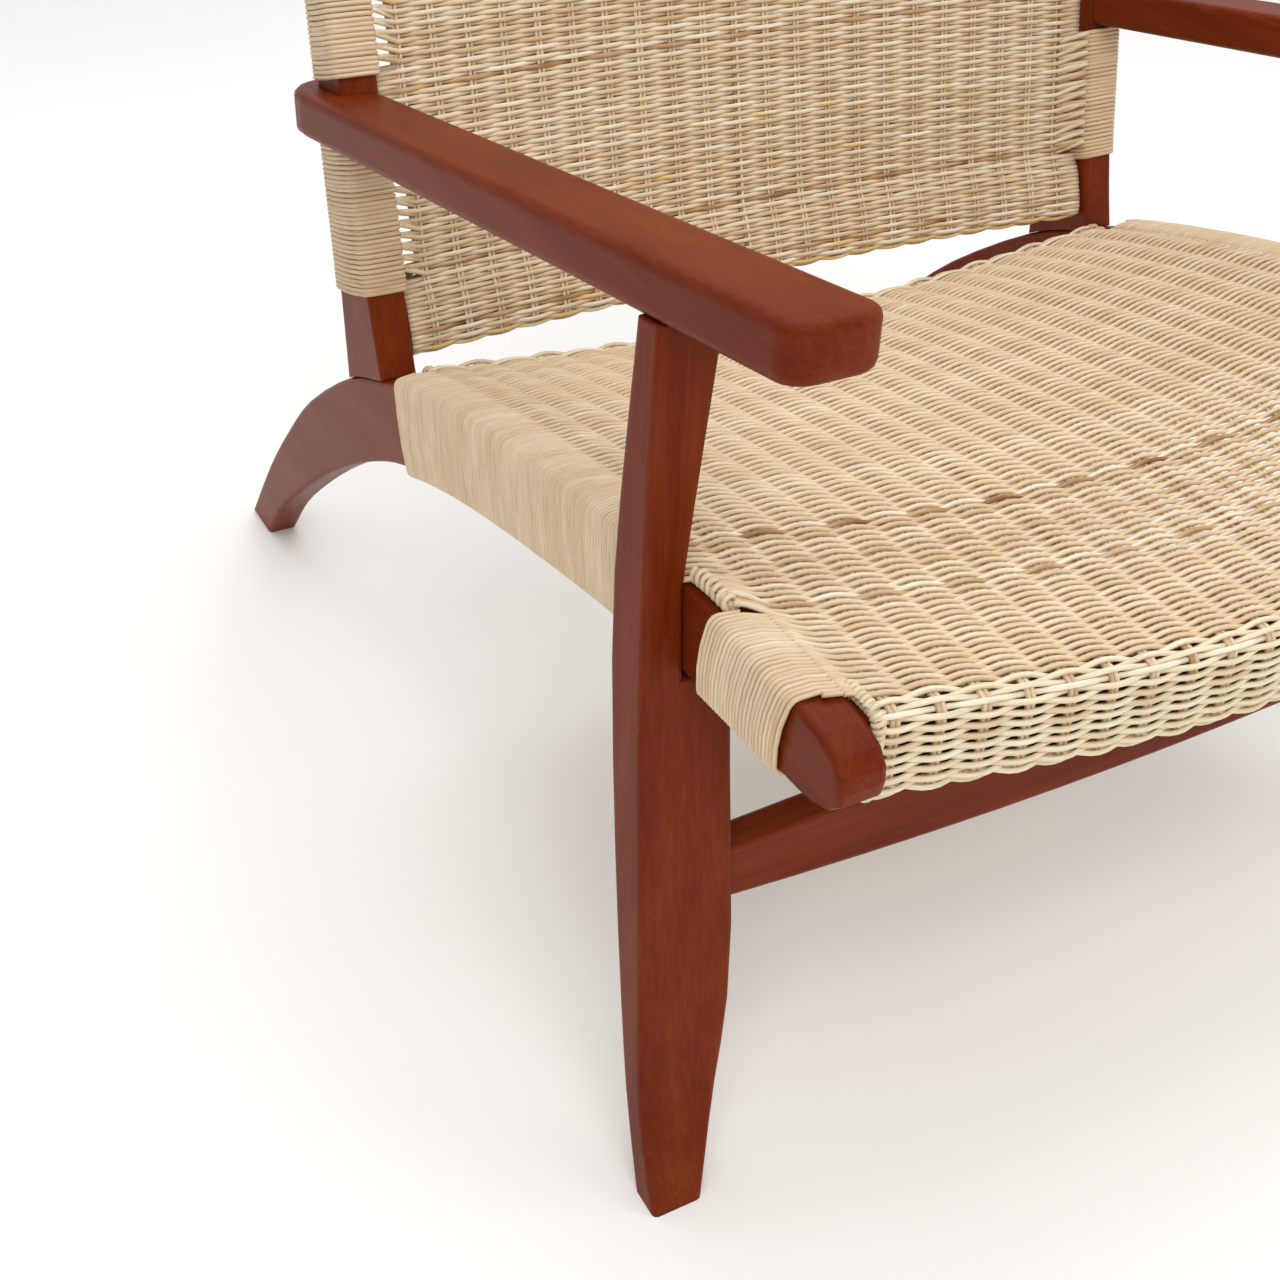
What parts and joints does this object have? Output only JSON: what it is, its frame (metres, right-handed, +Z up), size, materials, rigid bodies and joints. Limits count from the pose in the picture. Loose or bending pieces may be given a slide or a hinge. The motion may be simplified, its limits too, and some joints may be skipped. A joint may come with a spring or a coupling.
{
  "type": "wooden armchair",
  "caption": "Low lounge armchair: curved wooden side frames, flat sloping arms, and a seat and back woven from rattan core wound round the rails and posts.",
  "frame": {"origin": "on the floor, in the middle of the bounding box's base", "axes": "+Z up, -Y is the chair's front, X runs across it; the chair is symmetric about X = 0"},
  "size_m": [0.688, 0.886, 0.738],
  "materials": {
    "stained_wood": "reddish-brown stain under semi-gloss lacquer",
    "dowel": "bare turned wood, hidden in the joints",
    "rattan": "matte natural rattan core"
  },
  "bodies": {
    "root": {"arm_left": "stained_wood", "arm_leg_dowel_left": "dowel", "arm_leg_dowel_right": "dowel", "arm_post_dowel_left": "dowel", "arm_post_dowel_right": "dowel", "arm_right": "stained_wood", "back_bottom_dowel_left": "dowel", "back_bottom_dowel_right": "dowel", "back_bottom_fold": "rattan", "back_bottom_rail": "stained_wood", "back_post_left": "stained_wood", "back_post_right": "stained_wood", "back_top_dowel_left": "dowel", "back_top_dowel_right": "dowel", "back_top_fold": "rattan", "back_top_rail": "stained_wood", "back_weave": "rattan", "corner_tie_left": "rattan", "corner_tie_right": "rattan", "front_leg_left": "stained_wood", "front_leg_right": "stained_wood", "front_rail_dowel_1_left": "dowel", "front_rail_dowel_1_right": "dowel", "front_rail_dowel_2_left": "dowel", "front_rail_dowel_2_right": "dowel", "front_stretcher": "stained_wood", "leg_lap_dowel_1_left": "dowel", "leg_lap_dowel_1_right": "dowel", "leg_lap_dowel_2_left": "dowel", "leg_lap_dowel_2_right": "dowel", "post_dowel_1_left": "dowel", "post_dowel_1_right": "dowel", "post_dowel_2_left": "dowel", "post_dowel_2_right": "dowel", "post_wrap_lower_left": "rattan", "post_wrap_lower_right": "rattan", "post_wrap_upper_left": "rattan", "post_wrap_upper_right": "rattan", "rail_wrap_front_left": "rattan", "rail_wrap_front_right": "rattan", "rail_wrap_rear_left": "rattan", "rail_wrap_rear_right": "rattan", "rear_rail_dowel_left": "dowel", "rear_rail_dowel_right": "dowel", "seat_front_fold": "rattan", "seat_front_rail": "stained_wood", "seat_rear_fold": "rattan", "seat_rear_rail": "stained_wood", "seat_weave": "rattan", "side_rail_left": "stained_wood", "side_rail_right": "stained_wood", "stretcher_dowel_1_left": "dowel", "stretcher_dowel_1_right": "dowel", "stretcher_dowel_2_left": "dowel", "stretcher_dowel_2_right": "dowel"}
  },
  "joints": []
}
